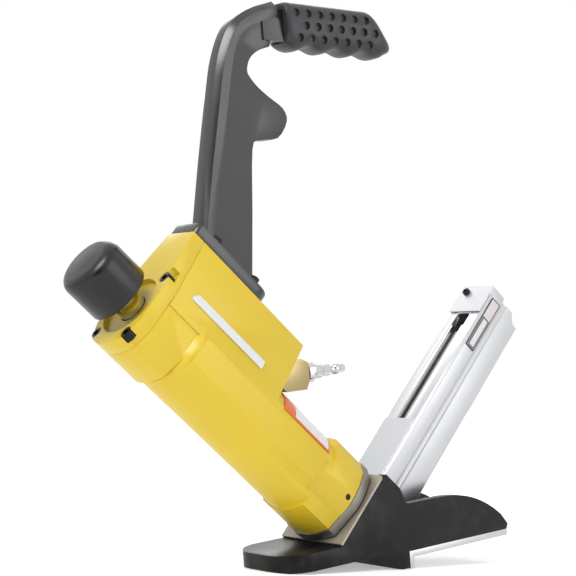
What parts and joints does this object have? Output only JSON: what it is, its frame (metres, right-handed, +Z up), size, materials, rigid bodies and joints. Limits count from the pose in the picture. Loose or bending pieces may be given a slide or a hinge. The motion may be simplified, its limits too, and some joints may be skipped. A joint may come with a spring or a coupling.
{
  "type": "pneumatic flooring nailer",
  "caption": "Mallet-struck pneumatic flooring nailer: inclined barrel with strike cap, upright handle with scalloped grip, staple magazine and a shoe with a sole angle.",
  "frame": {"origin": "centre of the bounding box's bottom, on the floor the tool stands on", "axes": "+Z up, +X towards the magazine, +Y to the far side; the tool stands on its nose and its toe"},
  "size_m": [0.4418, 0.077, 0.4506],
  "materials": {
    "yellow_paint": "satin",
    "black_casting": "satin",
    "black_rubber": "matte",
    "black_shoe": "satin",
    "black_oxide": "satin",
    "steel": "satin",
    "dull_steel": "matte",
    "chrome": "polished",
    "aluminium": "satin",
    "brass": "polished",
    "red_fibre": "matte",
    "white_plate": "satin",
    "label_film": "gloss"
  },
  "bodies": {
    "frame": {"main_body": "yellow_paint", "head_cover": "yellow_paint", "handle_arm": "black_casting", "rubber_grip": "black_rubber", "shoe": "black_shoe", "sole_angle": "aluminium", "magazine_channel": "aluminium", "magazine_cover": "aluminium", "magazine_cap": "aluminium", "nose_plate": "dull_steel", "nose_spacer": "steel", "nose_gasket": "black_rubber", "ram_bush": "brass", "ram_spring": "steel", "head_seal": "black_rubber", "valve_housing": "aluminium", "cylinder_sleeve": "steel", "bumper": "black_rubber", "brass_elbow": "brass", "sealing_washer": "red_fibre", "air_plug": "chrome", "name_plate": "white_plate", "label": "label_film", "magazine_label": "label_film", "staple_track": "steel", "staple_strip": "steel", "pusher_spring": "steel", "cap_screw": "black_oxide", "flange_pin_near": "black_oxide", "flange_pin_far": "black_oxide", "head_screw_1": "black_oxide", "handle_screw_1": "black_oxide", "nose_bolt_1": "black_oxide", "sole_screw_1": "black_oxide", "head_screw_2": "black_oxide", "handle_screw_2": "black_oxide", "nose_bolt_2": "black_oxide", "sole_screw_2": "black_oxide", "head_screw_3": "black_oxide", "handle_screw_3": "black_oxide", "nose_bolt_3": "black_oxide", "sole_screw_3": "black_oxide", "head_screw_4": "black_oxide", "handle_screw_4": "black_oxide", "nose_bolt_4": "black_oxide", "sole_screw_4": "black_oxide"},
    "striker": {"strike_cap": "black_rubber", "ram": "chrome", "firing_valve": "brass"},
    "driver": {"piston": "aluminium", "piston_ring": "black_rubber", "driver_blade": "steel"},
    "pusher_body": {"pusher": "dull_steel"}
  },
  "joints": [
    {"name": "strike_ram", "type": "slide", "parent": "frame", "child": "striker", "axis": [0.7972, 0, -0.6037], "range_m": [0, 0.011], "stiffness_N_per_m": 2000, "springref_m": -0.01, "deforming": ["ram_spring"]},
    {"name": "driver_stroke", "type": "slide", "parent": "frame", "child": "driver", "axis": [0.7972, 0, -0.6037], "range_m": [0, 0.056]},
    {"name": "pusher_slide", "type": "slide", "parent": "frame", "child": "pusher_body", "axis": [0.6037, 0, 0.7972], "range_m": [0, 0.105], "stiffness_N_per_m": 50, "springref_m": -0.2}
  ]
}
